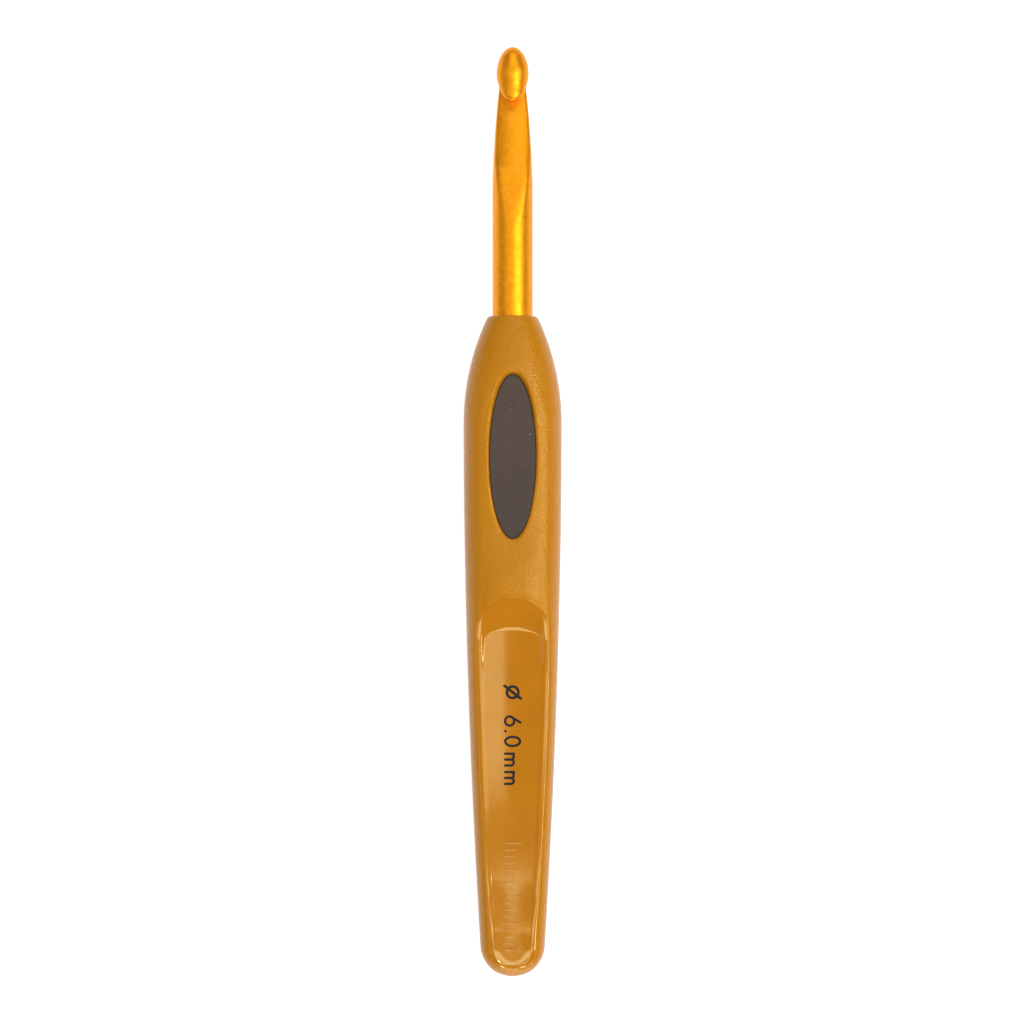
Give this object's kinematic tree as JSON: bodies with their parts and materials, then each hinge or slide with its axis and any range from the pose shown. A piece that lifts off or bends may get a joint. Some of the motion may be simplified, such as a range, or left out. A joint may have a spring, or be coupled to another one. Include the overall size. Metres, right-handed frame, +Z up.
{
  "type": "crochet hook",
  "caption": "Crochet hook with a 6.0 mm anodised aluminium shank and a wide two-shot soft grip with oval thumb rests.",
  "frame": {"origin": "middle of the bounding box in plan, on the surface that the hook lies on", "axes": "+Y along the hook towards its head, +Z up out of the front face with the lip, +X to the right seen from the front"},
  "size_m": [0.0148, 0.1396, 0.0102],
  "materials": {
    "anodised_aluminium": "fine blasted, gold anodised",
    "gloss_amber": "polished moulding",
    "satin_amber": "fine spark-eroded texture",
    "pad_rubber": "matte",
    "ink": "pad-printed ink"
  },
  "bodies": {
    "root": {"hook": "anodised_aluminium", "handle_core": "gloss_amber", "grip_sleeve": "satin_amber", "thumb_pad_front": "pad_rubber", "thumb_pad_back": "pad_rubber", "size_print": "ink"}
  },
  "joints": []
}
